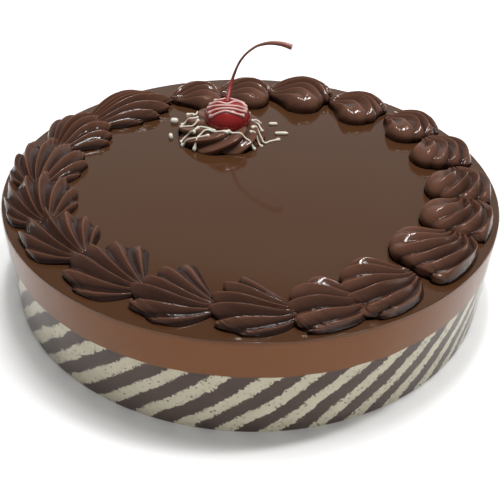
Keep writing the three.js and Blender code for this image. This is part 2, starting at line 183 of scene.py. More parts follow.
# %% A number that flows through a node tree
class Value:
    def __init__(self, tree, socket):
        self.tree = tree
        self.socket = socket

    def math(self, operation, *others):
        node = self.tree.nodes.new("ShaderNodeMath")
        node.operation = operation
        for socket, value in zip(node.inputs, (self, *others)):
            feed(self.tree, socket, value)
        return Value(self.tree, node.outputs[0])

    def __add__(self, other):
        return self.math("ADD", other)

    def __sub__(self, other):
        return self.math("SUBTRACT", other)

    def __mul__(self, other):
        return self.math("MULTIPLY", other)

    def __truediv__(self, other):
        return self.math("DIVIDE", other)

    def __pow__(self, other):
        return self.math("POWER", other)

    def __rsub__(self, other):
        return (self * -1) + other

    __radd__ = __add__
    __rmul__ = __mul__

    def sin(self):
        return self.math("SINE")

    def cos(self):
        return self.math("COSINE")

    def root(self):
        return self.at_least(0).math("SQRT")

    def size(self):
        return self.math("ABSOLUTE")

    def fraction(self):
        return self.math("FRACT")

    def whole(self):
        return self.math("FLOOR")

    def at_least(self, other):
        return self.math("MAXIMUM", other)

    def at_most(self, other):
        return self.math("MINIMUM", other)

    def over(self, other):
        """1 where this is greater than the other number, else 0."""
        return self.math("GREATER_THAN", other)

    def between(self, low, high):
        """Rises smoothly from 0 at low to 1 at high."""
        share = ((self - low) / (high - low)).at_least(0).at_most(1)
        return share * share * (3 - 2 * share)


def feed(tree, socket, value):
    """Links a Value or a socket into a socket, or sets a plain number, vector or colour on it."""
    if isinstance(value, Value):
        tree.links.new(value.socket, socket)
    elif isinstance(value, bpy.types.NodeSocket):
        tree.links.new(value, socket)
    else:
        socket.default_value = value


def mix(low, high, share):
    """low where share is 0, high where it is 1."""
    return low + (high - low) * share


def add_node(tree, kind, settings=None, **inputs):
    """Adds a node, sets its own settings and feeds its inputs, whose names have _ for a space."""
    node = tree.nodes.new(kind)
    for name, value in (settings or {}).items():
        setattr(node, name, value)
    for name, value in inputs.items():
        feed(tree, node.inputs[name.replace("_", " ")], value)
    return node


def vector(tree, x, y, z):
    return add_node(tree, "ShaderNodeCombineXYZ", X=x, Y=y, Z=z).outputs[0]


def parts_of(tree, socket):
    """The X, Y and Z of a vector as three Values."""
    split = add_node(tree, "ShaderNodeSeparateXYZ", Vector=socket)
    return [Value(tree, output) for output in split.outputs]


def noise(tree, place, scale, detail=2, seed=0):
    """Soft cloudy noise around 0.5 at a place."""
    settings = {"noise_dimensions": "4D"}
    node = add_node(tree, "ShaderNodeTexNoise", settings, Vector=place, Scale=scale, Detail=detail, W=seed)
    return Value(tree, node.outputs[0])


print("formula helpers ready")

# %% [markdown]
# ## Growing a piece from a node tree
#
# A Geometry Nodes tree is a recipe with named inputs, such as a length or a number of ribs. The helper
# `recipe` starts a tree with its inputs. `grow` puts the tree on a throwaway object as a modifier, sets
# the inputs by their sockets' identifiers, and keeps the evaluated result as a plain mesh.

# %% Recipes and grown pieces
def recipe(name, sizes):
    """A new tree, its start node, and its named inputs as Values."""
    tree = bpy.data.node_groups.new(name, "GeometryNodeTree")
    tree.interface.new_socket("Geometry", in_out="INPUT", socket_type="NodeSocketGeometry")
    for label, default in sizes.items():
        socket = tree.interface.new_socket(label, in_out="INPUT", socket_type="NodeSocketFloat")
        socket.default_value = default
    tree.interface.new_socket("Geometry", in_out="OUTPUT", socket_type="NodeSocketGeometry")
    start = tree.nodes.new("NodeGroupInput")
    return tree, start, {label: Value(tree, start.outputs[label]) for label in sizes}


def serve(tree, geometry, material):
    """Ends a recipe: smooth shading, real geometry instead of instances, and a material."""
    smooth = add_node(tree, "GeometryNodeSetShadeSmooth", Geometry=geometry)
    real = add_node(tree, "GeometryNodeRealizeInstances", Geometry=smooth.outputs[0])
    dressed = add_node(tree, "GeometryNodeSetMaterial", Geometry=real.outputs[0], Material=material)
    tree.links.new(dressed.outputs[0], tree.nodes.new("NodeGroupOutput").inputs[0])


def add_to_scene(name, data):
    piece = bpy.data.objects.new(name, data)
    bpy.context.scene.collection.objects.link(piece)
    return piece


def grow(name, tree, base=None, sharp_angle=None, **sizes):
    """Runs a recipe once, on a base where it needs one, and keeps the result as a plain mesh."""
    seedling = add_to_scene(name + "_seedling", base or bpy.data.meshes.new("seed"))
    modifier = seedling.modifiers.new("recipe", "NODES")
    modifier.node_group = tree
    for item in tree.interface.items_tree:
        if item.in_out == "INPUT" and item.name in sizes:
            modifier[item.identifier] = sizes[item.name]
    evaluated = seedling.evaluated_get(bpy.context.evaluated_depsgraph_get())
    mesh = bpy.data.meshes.new_from_object(evaluated)
    bpy.data.objects.remove(seedling)
    if sharp_angle:
        mesh.set_sharp_from_angle(angle=math.radians(sharp_angle))
    return add_to_scene(name, mesh)


print("recipe helpers ready")

# %% [markdown]
# Most pieces of this cake start as a flat grid of points that a formula bends into shape. These helpers
# make the grid, move its points, store a number on each of them, and close the result.

# %% Sheets of points
WELD_DISTANCE = 0.01 * MM


def sheet_of(tree, columns, rows):
    """A flat grid of points, with each point's share across (X) and along (Y) as Values from 0 to 1."""
    counts = {"Vertices_X": columns + 1, "Vertices_Y": rows + 1}
    grid = add_node(tree, "GeometryNodeMeshGrid", Size_X=1, Size_Y=1, **counts)
    x, y, _ = parts_of(tree, tree.nodes.new("GeometryNodeInputPosition").outputs[0])
    return grid.outputs[0], x + 0.5, y + 0.5


def keep_share(tree, geometry, name, value):
    """Stores a number on each point, for the material to read."""
    settings = {"data_type": "FLOAT", "domain": "POINT"}
    return add_node(
        tree, "GeometryNodeStoreNamedAttribute", settings, Geometry=geometry, Name=name, Value=value
    ).outputs[0]


def moved(tree, geometry, x, y, z):
    """The points moved to a place in millimetres."""
    place = vector(tree, x * MM, y * MM, z * MM)
    return add_node(tree, "GeometryNodeSetPosition", Geometry=geometry, Position=place).outputs[0]


def welded(tree, *geometries):
    """Joins geometries and merges the points where they meet."""
    join = tree.nodes.new("GeometryNodeJoinGeometry")
    for geometry in geometries:
        tree.links.new(geometry, join.inputs[0])
    merge = add_node(tree, "GeometryNodeMergeByDistance", Geometry=join.outputs[0], Distance=WELD_DISTANCE)
    return merge.outputs[0]


def domed(tree, grid, x, y, base, height):
    """A sheet raised over a flat copy of itself and welded to it, in millimetres."""
    top = moved(tree, grid, x, y, base + height)
    underside = moved(tree, grid, x, y, base + height * 0)
    flipped = add_node(tree, "GeometryNodeFlipFaces", Mesh=underside).outputs[0]
    return welded(tree, top, flipped)


print("sheet helpers ready")

# %% [markdown]
# ## Finishes
#
# Every finish starts from the Principled shader. Numbers that are the same all over are set on its
# sockets, and only colour, roughness and bump come from nodes. Patterns read Object coordinates:
# each object sits at the origin, so these are plain metres in the cake's own frame.

# %% Helpers for finishes
# The Mix node has one set of sockets for each kind of data. These are the places of its share and of
# its colour sockets.
MIX_SHARE = 0
MIX_FIRST = 6
MIX_SECOND = 7
MIX_RESULT = 2


def finish(name, roughness, **settings):
    """A Principled material. settings are its sockets by name, with _ for a space."""
    material = bpy.data.materials.new(name)
    material.use_nodes = True
    shader = material.node_tree.nodes["Principled BSDF"]
    shader.inputs["Roughness"].default_value = roughness
    for label, value in settings.items():
        shader.inputs[label.replace("_", " ")].default_value = value
    return material, material.node_tree, shader


def object_place(tree):
    return tree.nodes.new("ShaderNodeTexCoord").outputs["Object"]


def blended(tree, first, second, share, way="MIX"):
    """A colour between two colours or colour sockets, or the two multiplied."""
    node = add_node(tree, "ShaderNodeMix", {"data_type": "RGBA", "blend_type": way})
    feed(tree, node.inputs[MIX_SHARE], share)
    feed(tree, node.inputs[MIX_FIRST], first)
    feed(tree, node.inputs[MIX_SECOND], second)
    return node.outputs[MIX_RESULT]


def bump(tree, shader, height, depth):
    """Turns a height from 0 to 1 into fine relief that is depth millimetres deep."""
    node = add_node(tree, "ShaderNodeBump", Height=height, Distance=depth * MM, Strength=1.0)
    tree.links.new(node.outputs[0], shader.inputs["Normal"])


print("finish helpers ready")

# %% [markdown]
# ### Piped icing
#
# The icing is dark chocolate ganache: warm brown on the crests, and wet enough for small white
# highlights. Its grooves and its foot are painted nearly black, as painted shade where they lie in
# shadow. The recipes of the piped pieces store on each point, in an attribute, how deep in a groove it
# is and, on the shells, how near the foot, and the finish mixes its brown and the painted shade by
# that. Soft cloudy noise makes the brown, the wetness and the surface slightly uneven.

# %% Icing finish
# The second colour is painted shade for the grooves and the foot, not a colour of the icing itself.
ICING_CREST = (0.124, 0.055, 0.034, 1)
ICING_GROOVE_SHADE = (0.019, 0.008, 0.0055, 1)
ICING_SHADES = ((0.8, 0.8, 0.8, 1), (1.2, 1.2, 1.2, 1))
ICING_ROUGHNESS = (0.07, 0.2)
ICING_BUMP = 0.15


def icing_finish():
    material, tree, shader = finish("piped_icing", 0.25, Specular_IOR_Level=0.3)
    place = object_place(tree)
    # The stored groove number says how much painted shade each point gets, and the mix below paints it.
    groove = Value(tree, add_node(tree, "ShaderNodeAttribute", {"attribute_name": "groove"}).outputs["Fac"])
    colour = blended(tree, ICING_CREST, ICING_GROOVE_SHADE, groove)
    shade = blended(tree, *ICING_SHADES, noise(tree, place, scale=90, detail=4))
    tree.links.new(blended(tree, colour, shade, 1, "MULTIPLY"), shader.inputs["Base Color"])
    wetness = noise(tree, place, scale=260, detail=3, seed=4)
    feed(tree, shader.inputs["Roughness"], mix(*ICING_ROUGHNESS, wetness))
    bump(tree, shader, noise(tree, place, scale=380, detail=3, seed=9), ICING_BUMP)
    return material


ICING = icing_finish()
print("finish:", ICING.name)

# %% [markdown]
# ### The shells
#
# A shell is piped with a star nozzle: the baker squeezes a fat head, then pulls away to a thin tail,
# and the next head covers that tail. Seen from above it is a fan. The ribs start together at the tail,
# the fan's hub, and spread to the round edge of the head, where each ends in a blunt finger.
#
# One recipe makes all nineteen. It bends a flat grid: *across* picks a direction from the hub, from the
# shell's outer side to its inner one, and *along* walks out in that direction, over the top and a
# little under the edge. The ribs lower the surface between their crests and draw its edge in.

# %% The recipe's named sizes, in millimetres and degrees
SHELL_COLUMNS = 180
SHELL_ROWS = 54
RING_RADIUS = 99
SHELL_SIZES = {
    "Hub Angle": 0, "Hub Radius": 99, "Hub Width": 6, "Length": 34, "Height": 10, "Tail Height": 0.32,
    "Heading": 0, "Bend": 0, "Outer Spread": 40, "Inner Spread": 40, "Outer Drop": 0.2, "Inner Drop": 0.2,
    "Outer Low": 0.35, "Inner Low": 0.2, "Bow": 0.5, "Bluntness": 0.6, "Ribs": 5, "Rib Depth": 0.4,
    "Tip Depth": 0.6, "Rib Sharpness": 2, "Rib Softness": 0.3, "Tip Softness": 0.5, "Edge Depth": 0.16,
    "Inner Calm": 0, "Drop Power": 1.7, "Outer Ragged": 0, "Inner Ragged": 0, "Reach": 114.8, "Base": 48,
    "Seed": 0,
}
print("a shell has", len(SHELL_SIZES), "named sizes")

# %% [markdown]
# A star nozzle leaves ribs. Their share of the way across, multiplied by their number, counts through
# them, and its fraction says where between two crests a point is. Real ribs waver, and each has a
# slightly different length and height. Towards the edge their thin crests widen into fingers.

# %% Ribs
CREST_ROUNDING = 0.006
RIB_WAVER = 0.06
JUST_INSIDE = 0.9999
FINGER_POWER = 7
TEAR_SIDES = (-0.7, -0.1)
TEAR_EDGE_POWER = 4
TEAR_GRAIN = 4


def groove_depth(across, ribs, sharpness, softness):
    """0 on a crest, 1 between crests. Sharpness makes thin crests, and softness round lobes."""
    off_crest = 2 * ((ribs * across).fraction() - 0.5).size()
    flat = math.sqrt(CREST_ROUNDING)
    steepest = math.sqrt(1 + CREST_ROUNDING) - flat
    off_crest = ((off_crest * off_crest + CREST_ROUNDING).root() - flat) / steepest
    hollow = 1 - (1 - off_crest).at_least(0) ** sharpness
    lobe = off_crest * off_crest
    return mix(hollow, lobe, softness)


def shell_ribs(tree, size, across, along, body):
    """How deep in a groove each point is, and a random number around 0 for each rib."""
    place = vector(tree, across, along, size["Seed"])
    waver = noise(tree, place, scale=2.2, detail=1, seed=size["Seed"]) - 0.5
    rib_place = across + RIB_WAVER * waver * (across * math.pi).sin()
    rib_place = rib_place.at_least(0).at_most(JUST_INSIDE)
    rib = vector(tree, (size["Ribs"] * rib_place).whole(), size["Seed"], 0)
    chance = add_node(tree, "ShaderNodeTexWhiteNoise", {"noise_dimensions": "2D"}, Vector=rib)
    softness = mix(size["Rib Softness"], size["Tip Softness"], body ** FINGER_POWER)
    groove = groove_depth(rib_place, size["Ribs"], size["Rib Sharpness"], softness)
    return groove, Value(tree, chance.outputs[0]) - 0.5


def shell_tears(tree, size, across, along, side, body):
    """A random number around 0 where the wet edge tore as the nozzle left it, mostly outside."""
    ragged = mix(size["Outer Ragged"], size["Inner Ragged"], side.between(*TEAR_SIDES))
    place = vector(tree, TEAR_GRAIN * across, TEAR_GRAIN * along, size["Seed"])
    return ragged * body ** TEAR_EDGE_POWER * (noise(tree, place, scale=3, detail=1) - 0.5)


print("a crest is rounded over", round(math.sqrt(CREST_ROUNDING), 3), "of half a rib")

# %% [markdown]
# Three formulas give the form. The outline says how far out the edge lies in each direction: it drops
# back towards both sides. The height rises from the tail to the fat head and falls steeply at the
# edge. The place turns the fan to its heading and bends it round the ring, and keeps it off the rim.

# %% Outline, height and place of a shell
OVER_THE_EDGE = 1.85
HUB_CROWDING = 1.6
HUB_LENGTH = 1.6
RISE_SHARE = 0.75
RIM_EASE = 6
UNEVEN_LENGTH = 0.1
UNEVEN_HEIGHT = 0.12
TORN_LENGTH = 0.3
TORN_HEIGHT = 1.2
SIDE_LOW_POWER = 1.6
SIDE_WALL_POWER = 10
TIP_POWER = 8
RIB_START = 8
TURN_POWER = 0.1


def shell_outline(size, side, body, rib_relief, uneven, torn):
    """How far from the hub each point is."""
    drop = mix(size["Outer Drop"], size["Inner Drop"], side.over(0)) * side.size() ** size["Drop Power"]
    edge = size["Length"] * (1 - drop) * (1 - size["Edge Depth"] * rib_relief)
    return edge * (1 + UNEVEN_LENGTH * uneven) * (1 + TORN_LENGTH * torn) * body


def shell_height(size, side, lean, body, out, ribbed, groove, uneven, torn):
    """How high above the glaze each point is."""
    rise = mix(size["Tail Height"], 1, (out / (RISE_SHARE * size["Length"])).between(0, 1))
    rise = rise * (out / HUB_LENGTH).at_most(1).root()
    fall = (lean.cos() - math.cos(OVER_THE_EDGE)) / (1 - math.cos(OVER_THE_EDGE))
    low = mix(size["Outer Low"], size["Inner Low"], side.over(0)) * side.size() ** SIDE_LOW_POWER
    wall = (1 - side.size() ** SIDE_WALL_POWER).root()
    rib_depth = size["Rib Depth"] * (out / RIB_START).at_most(1)
    depth = ribbed * mix(rib_depth, size["Tip Depth"], body ** TIP_POWER)
    height = size["Height"] * rise * fall * wall * (1 - low) * (1 - depth * groove)
    return height * (1 + UNEVEN_HEIGHT * uneven) * (1 + TORN_HEIGHT * torn)


def shell_place(size, side, out):
    """X and Y of each point, from its side and its distance from the hub."""
    degree = math.pi / 180
    short_of_tip = 1 - out / size["Length"]
    turn = side * side.size() ** TURN_POWER * mix(size["Outer Spread"], size["Inner Spread"], side.over(0))
    turn = turn * (1 + size["Bow"] * short_of_tip)
    way = (size["Heading"] - size["Bend"] * short_of_tip + turn) * degree
    hub_way = (size["Heading"] - size["Bend"]) * degree
    aside = size["Hub Width"] / 2 * side
    ahead = out * way.cos() - aside * hub_way.sin()
    inward = out * way.sin() + aside * hub_way.cos()
    angle = size["Hub Angle"] * degree - ahead / RING_RADIUS
    radius = size["Hub Radius"] - inward
    past = (radius - (size["Reach"] - RIM_EASE)).at_least(0)
    radius = radius - past + RIM_EASE * (1 - (0 - past / RIM_EASE).math("EXPONENT"))
    return radius * angle.cos(), radius * angle.sin()


print("the rim holds a shell back over its last", RIM_EASE, "mm")

# %% Shell recipe
CALM_FROM = -0.3
CALM_TO = 0.6
CALM_POWER = 1.5
# The lowest part of each shell is painted darker, as painted shade at its foot.
SHADED_FOOT_FROM = 0.03
SHADED_FOOT_TO = 0.38
FOOT_PAINTED_SHADE = 0.6


def shell_recipe():
    tree, _, size = recipe("piped_shell", SHELL_SIZES)
    grid, across, along = sheet_of(tree, SHELL_COLUMNS, SHELL_ROWS)
    side = 2 * across - 1
    lean = along ** HUB_CROWDING * OVER_THE_EDGE
    body = lean.sin() ** size["Bluntness"]

    groove, chance = shell_ribs(tree, size, across, along, body)
    torn = shell_tears(tree, size, across, along, side, body)
    ribbed = 1 - size["Inner Calm"] * side.between(CALM_FROM, CALM_TO) * body ** CALM_POWER
    uneven = chance * ribbed * (1 - groove)
    out = shell_outline(size, side, body, ribbed * groove, uneven, torn)
    height = shell_height(size, side, lean, body, out, ribbed, groove, uneven, torn)
    x, y = shell_place(size, side, out)

    # Painted shade: the grooves and the low foot are stored for the finish to darken.
    foot = 1 - (height / size["Height"]).between(SHADED_FOOT_FROM, SHADED_FOOT_TO)
    grid = keep_share(tree, grid, "groove", (groove * ribbed + FOOT_PAINTED_SHADE * foot).at_most(1))
    serve(tree, domed(tree, grid, x, y, size["Base"], height), ICING)
    return tree


PIPED_SHELL = shell_recipe()
print("shell recipe:", len(PIPED_SHELL.nodes), "nodes")

# %% [markdown]
# No two shells are alike, so each gets a line of its own and one of four styles. The front ones lie
# along the rim, and two of them have fuller heads. The ones at the left were pressed into flat open
# fans, and on the right and at the back the heads curl inwards into smooth round bulbs.

# %% Nineteen shells
ALONG_RIM = {
    "Rib Depth": 0.45, "Tip Depth": 0.5, "Rib Sharpness": 2.4, "Rib Softness": 0.1, "Tip Softness": 0.6,
    "Edge Depth": 0.1, "Outer Low": 0.7, "Inner Low": 0.75, "Bow": 0.35, "Bluntness": 0.55,
    "Tail Height": 0.4, "Outer Ragged": 0.7,
}
FULL_HEAD = {
    "Rib Depth": 0.4, "Tip Depth": 0.35, "Rib Sharpness": 2.2, "Rib Softness": 0.25, "Tip Softness": 0.9,
    "Edge Depth": 0.05, "Outer Low": 0.62, "Inner Low": 0.1, "Bow": 0.5, "Bluntness": 0.5,
    "Tail Height": 0.4, "Inner Calm": 0.4, "Drop Power": 2.4, "Outer Ragged": 0.7,
}
OPEN_FAN = {
    "Rib Depth": 0.36, "Tip Depth": 0.6, "Rib Sharpness": 2.4, "Rib Softness": 0.1, "Tip Softness": 0.6,
    "Edge Depth": 0.12, "Outer Low": 0.2, "Inner Low": 0.3, "Bow": 0.1, "Bluntness": 0.6,
    "Tail Height": 0.45, "Inner Ragged": 0.3,
}
CURLED = {
    "Rib Depth": 0.42, "Tip Depth": 0.16, "Rib Sharpness": 2.0, "Rib Softness": 0.25, "Tip Softness": 0.9,
    "Edge Depth": 0.02, "Outer Low": 0.3, "Inner Low": 0.0, "Bow": 0.8, "Bluntness": 0.5,
    "Tail Height": 0.35, "Inner Calm": 0.85, "Drop Power": 2.6, "Outer Ragged": 0.2, "Reach": 114.6,
}
ROW_LABELS = [
    "Hub Angle", "Hub Radius", "Length", "Height", "Heading", "Bend", "Outer Spread", "Inner Spread",
    "Outer Drop", "Inner Drop", "Ribs",
]
# Those sizes and the style, one line for each shell, anticlockwise from the middle of the front.
SHELLS = [
    (281.0, 102.0, 34, 8.6, 7, 6, 32, 40, 0.45, 0.15, 6, ALONG_RIM),
    (295.4, 102.5, 29, 9.0, 5, 8, 34, 42, 0.25, 0.45, 5, FULL_HEAD),
    (310.2, 100.5, 33, 10.0, 4, 10, 34, 42, 0.25, 0.45, 6, FULL_HEAD),
    (332.0, 99.5, 37, 10.5, 14, 34, 28, 36, 0.10, 0.45, 6, CURLED),
    (348.6, 99.0, 34, 11.0, 11, 34, 28, 36, 0.05, 0.45, 5, CURLED),
    (4.6, 99.0, 33, 10.8, 13, 36, 28, 36, 0.05, 0.45, 5, CURLED),
    (23.6, 98.5, 32, 10.2, 12, 36, 28, 38, 0.05, 0.45, 5, CURLED),
    (41.0, 96.0, 31, 10.4, 2, 36, 30, 38, 0.00, 0.45, 5, CURLED),
    (62.3, 91.5, 35, 10.6, 5, 36, 28, 36, 0.00, 0.45, 5, CURLED),
    (85.0, 88.5, 39, 12.5, 4, 34, 26, 36, 0.00, 0.50, 5, CURLED),
    (103.6, 87.5, 35, 10.8, 6, 32, 26, 36, 0.00, 0.45, 5, CURLED),
    (121.0, 89.5, 33, 10.4, 10, 28, 26, 36, 0.00, 0.45, 5, CURLED),
    (155.0, 94.5, 57, 10.0, 5, 12, 22, 38, 0.20, 0.70, 7, OPEN_FAN),
    (172.3, 96.5, 42, 9.5, 2, 12, 30, 52, 0.20, 0.55, 7, OPEN_FAN),
    (192.6, 98.5, 46, 9.0, 2, 8, 50, 58, 0.60, 0.75, 8, OPEN_FAN),
    (210.1, 98.5, 43, 9.0, -2, 6, 50, 58, 0.62, 0.75, 8, OPEN_FAN),
    (227.5, 97.0, 40, 8.6, 0, 4, 44, 48, 0.55, 0.60, 7, OPEN_FAN),
    (245.9, 97.8, 38, 8.5, 3, 4, 38, 46, 0.60, 0.35, 6, ALONG_RIM),
    (263.4, 99.4, 35, 8.7, 5, 4, 36, 44, 0.55, 0.20, 6, ALONG_RIM),
]


def pipe_shells():
    faces = 0
    for number, row in enumerate(SHELLS, start=1):
        node = f"shell_{number:02d}"
        sizes = {label: float(value) for label, value in zip(ROW_LABELS, row)}
        sizes.update(row[-1])
        shell = grow("piped_" + node, PIPED_SHELL, Base=GLAZE_TOP, Seed=float(number), **sizes)
        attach(shell, "root")
        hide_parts(node)
        faces += len(shell.data.polygons)
    return faces


print("shells:", len(SHELLS), "with", pipe_shells(), "faces")

# %% [markdown]
# ### The sponge
#
# The lowest layer is joconde, a thin sponge striped in cream and cocoa, so the side shows slanting
# stripes. Where the two batters meet, their border wanders and is ragged, and crumbs of the cream are
# torn out beside it. One function of the place says where each stripe is. The shape uses it as well
# as the finish, so the holes are deeper in the cream.

# %% Stripe pattern, shared by shape and finish
STRIPE_COUNT = 42
STRIPE_SLANT = 17.2
CREAM_SHARE = 0.46
FIRST_STRIPE = -136.5
STRIPE_WAVER = 0.5
STRIPE_RAGGED = 0.36
STRIPE_BORDER = 0.03
TORN_FROM = 0.05
TORN_TO = 0.16


def stripe_place(tree, place):
    """How far into its stripe a place is: 0 to 1, where cream comes first."""
    x, y, z = parts_of(tree, place)
    angle = y.math("ARCTAN2", x) / (2 * math.pi)
    climb = (z / (SPONGE_TOP * MM) - 1) * (STRIPE_SLANT / 360)
    waver = noise(tree, place, scale=50, detail=3, seed=2) - 0.5
    ragged = noise(tree, place, scale=900, detail=3, seed=5) - 0.5
    phase = (angle - FIRST_STRIPE / 360 - climb) * STRIPE_COUNT
    phase = phase + STRIPE_WAVER * waver + STRIPE_RAGGED * ragged
    return (phase + CREAM_SHARE / 2 + STRIPE_COUNT).fraction()


def cream_share(tree, place):
    """1 in a cream stripe and 0 in a cocoa stripe, with narrow borders."""
    inside = stripe_place(tree, place)
    return inside.between(0, STRIPE_BORDER) * (1 - inside.between(CREAM_SHARE, CREAM_SHARE + STRIPE_BORDER))


def cream_border(tree, place):
    """1 just inside both borders of a cream stripe, and 0 elsewhere."""
    inside = stripe_place(tree, place)
    first = inside.between(0, STRIPE_BORDER) * (1 - inside.between(TORN_FROM, TORN_TO))
    last = inside.between(CREAM_SHARE - TORN_TO, CREAM_SHARE - TORN_FROM)
    return first + last * (1 - inside.between(CREAM_SHARE, CREAM_SHARE + STRIPE_BORDER))


stripe_pitch = 2 * math.pi * CAKE_RADIUS / STRIPE_COUNT
print("stripes:", STRIPE_COUNT, "pairs, about", round(stripe_pitch, 1), "mm apart")

# %% [markdown]
# Sponge is full of small holes, and the ring cuts them open. A Voronoi pattern has a cell round each of
# many scattered points, so the middles of its cells make good holes and crumbs. Cloudy noise keeps
# them only in patches. The finish paints the holes and the spots of torn-out crumbs dark, as painted
# shade inside them.

# %% Sponge finish
CREAM = ((0.74, 0.69, 0.54, 1), (0.56, 0.51, 0.38, 1))
COCOA = ((0.135, 0.095, 0.08, 1), (0.08, 0.06, 0.053, 1))
PORE_SHADE_COLOUR = (0.09, 0.07, 0.05, 1)
PORE_SHADE = (0.2, 0.85)
CRUMB_HOLE_SHADE_COLOUR = (0.1, 0.072, 0.06, 1)
CRUMB_HOLE_SHADE = 0.8
SPONGE_BUMP = 0.12


def spots(tree, place, scale, near, far):
    """1 in the middle of each of many scattered spots, 0 between them."""
    kind = {"feature": "F1"}
    cells = add_node(tree, "ShaderNodeTexVoronoi", kind, Vector=place, Scale=scale, Randomness=1)
    return 1 - Value(tree, cells.outputs["Distance"]).between(near, far)


def pores(tree, place):
    """1 in the middle of a pore and 0 between pores."""
    patchy = noise(tree, place, scale=200, detail=2, seed=7).between(0.4, 0.6)
    return spots(tree, place, scale=520, near=0.12, far=0.42) * patchy


def torn_crumbs(tree, place):
    """1 where a crumb is torn out beside a cream stripe's border."""
    patchy = noise(tree, place, scale=120, detail=2, seed=9).between(0.45, 0.6)
    crumbs = spots(tree, place, scale=1000, near=0.2, far=0.45)
    return crumbs * cream_border(tree, place) * patchy


def sponge_finish():
    material, tree, shader = finish("striped_sponge", 0.85, Specular_IOR_Level=0.2)
    place = object_place(tree)
    cream = cream_share(tree, place)
    mottle = noise(tree, place, scale=150, detail=4, seed=3)
    striped = blended(tree, blended(tree, *COCOA, mottle), blended(tree, *CREAM, mottle), cream)
    # Painted shade inside the pores, stronger in the cream stripes.
    hollow = pores(tree, place) * mix(*PORE_SHADE, cream)
    porous = blended(tree, striped, PORE_SHADE_COLOUR, hollow)
    # Painted shade in the spots where crumbs are torn out; the shape has no hole there.
    specked = blended(tree, porous, CRUMB_HOLE_SHADE_COLOUR, CRUMB_HOLE_SHADE * torn_crumbs(tree, place))
    tree.links.new(specked, shader.inputs["Base Color"])
    bump(tree, shader, noise(tree, place, scale=1500, detail=3, seed=8), SPONGE_BUMP)
    return material


SPONGE = sponge_finish()
print("finish:", SPONGE.name)

# %% [markdown]
# The sponge's recipe bends a grid into a drum. Its first and last rows are pulled to the axis, which
# closes the drum with two lids. The pores press the wall in, and the top goes gently up and down, as a
# soft layer does under the next one.

# %% Sponge shape
BAND_COLUMNS = 900
SPONGE_ROWS = 48
SPONGE_INSET = 0.1
PORE_DEPTH = 0.55
COCOA_PORE_SHARE = 0.5
SPONGE_UNEVEN = 0.35
LID_EASE = 40
WAVE_DEPTH = 2.2
WAVE_LEVEL = SPONGE_TOP - 0.2
WAVE_SEED = 3


def drum(tree, columns, rows, radius, bottom, top):
    """A closed drum. radius, bottom and top are functions of the angle and the share of the height."""
    grid, around, along = sheet_of(tree, columns, rows + 2)
    steps = rows + 2
    lid = (0.5 / steps - along).over(0) + (along - (1 - 0.5 / steps)).over(0)
    share = ((along * steps - 1) / rows).at_least(0).at_most(1)
    angle = 2 * math.pi * around
    out = radius(angle, share) * (1 - lid)
    return moved(tree, grid, out * angle.cos(), out * angle.sin(), mix(bottom(angle), top(angle), share))


def sponge_top(tree, angle):
    """The wavy level where the sponge ends and the mousse starts."""
    place = vector(tree, angle.cos(), angle.sin(), WAVE_SEED)
    return WAVE_LEVEL + WAVE_DEPTH * (noise(tree, place, scale=6, detail=3, seed=WAVE_SEED) - 0.5)


def sponge_recipe(material):
    tree, _, _ = recipe("sponge_drum", {})

    def radius(angle, share):
        wall = CAKE_RADIUS - SPONGE_INSET
        place = vector(tree, wall * MM * angle.cos(), wall * MM * angle.sin(), share * (SPONGE_TOP * MM))
        dent = pores(tree, place) * mix(COCOA_PORE_SHARE, 1, cream_share(tree, place))
        uneven = noise(tree, place, scale=45, detail=2, seed=6)
        ease = (share * (1 - share) * LID_EASE).at_most(1)
        return wall - ease * (PORE_DEPTH * dent + SPONGE_UNEVEN * uneven)

    def bottom(angle):
        return angle * 0

    def top(angle):
        return sponge_top(tree, angle)

    body = drum(tree, BAND_COLUMNS, SPONGE_ROWS, radius, bottom, top)
    serve(tree, welded(tree, body), material)
    return tree


sponge = grow("striped_sponge", sponge_recipe(SPONGE), sharp_angle=60)
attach(sponge, "root")
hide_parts("sponge_layer")
print("sponge:", len(sponge.data.polygons), "faces")

# %% [markdown]
# ### The mousse
#
# The mousse sets against the collar, so its side is smooth and satin, with a very fine grain. It fills
# the uneven top of the sponge, so its lower edge follows the same wavy level.

# %% Mousse finish and shape
MOUSSE_COLUMNS = 360
MOUSSE_ROWS = 6
MOUSSE_COLOURS = ((0.215, 0.088, 0.036, 1), (0.245, 0.103, 0.045, 1))
MOUSSE_BUMP = 0.05


def mousse_finish():
    material, tree, shader = finish("milk_chocolate_mousse", 0.6, Specular_IOR_Level=0.12)
    place = object_place(tree)
    cloud = noise(tree, place, scale=70, detail=4, seed=11)
    tree.links.new(blended(tree, *MOUSSE_COLOURS, cloud), shader.inputs["Base Color"])
    bump(tree, shader, noise(tree, place, scale=1100, detail=3, seed=12), MOUSSE_BUMP)
    return material


def mousse_recipe(material):
    tree, _, _ = recipe("mousse_drum", {})
    body = drum(
        tree, MOUSSE_COLUMNS, MOUSSE_ROWS,
        lambda angle, share: angle * 0 + CAKE_RADIUS,
        lambda angle: sponge_top(tree, angle),
        lambda angle: angle * 0 + MOUSSE_TOP,
    )
    serve(tree, welded(tree, body), material)
    return tree


MOUSSE = mousse_finish()
mousse = grow("set_mousse", mousse_recipe(MOUSSE), sharp_angle=60)
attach(mousse, "root")
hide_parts("mousse_layer")
print("mousse:", len(mousse.data.polygons), "faces")

# %% [markdown]
# ### The glaze
#
# Mirror glaze is poured warm and sets dead flat, with a tight rolled edge. A profile turned round the
# axis gives exactly that. The finish is a glossy dark brown. The cut side of so thin a layer lets light
# through, so there it is as pale and dull as the mousse.

# %% Turned pieces
TURNED_SIDES = 256
TURNED_WELD = 0.005 * MM
TURNED_SHARP_ANGLE = math.radians(40)


